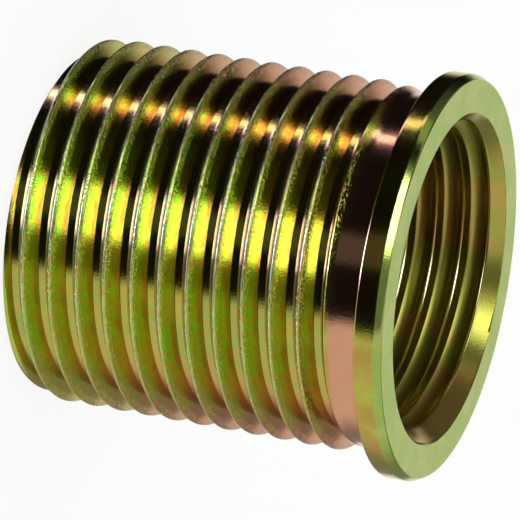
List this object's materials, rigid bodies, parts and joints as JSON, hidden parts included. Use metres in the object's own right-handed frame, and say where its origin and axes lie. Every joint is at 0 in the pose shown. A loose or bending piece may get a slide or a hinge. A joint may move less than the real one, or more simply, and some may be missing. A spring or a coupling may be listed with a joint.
{
  "type": "threaded insert",
  "caption": "Flanged steel thread repair insert: thin sleeve with the same pitch of thread outside and inside, plain neck and flat flange.",
  "frame": {"origin": "centre of the threaded end face, on the axis", "axes": "+Z along the axis from the threaded end to the flange; the camera of the picture looks roughly along +Y and the top of the picture is at -X"},
  "size_m": [0.0176, 0.0176, 0.0175],
  "materials": {
    "yellow_zinc_steel": "turned steel, zinc plated with a yellow-green iridescent passivate"
  },
  "bodies": {
    "root": {"threaded_insert": "yellow_zinc_steel"}
  },
  "joints": []
}
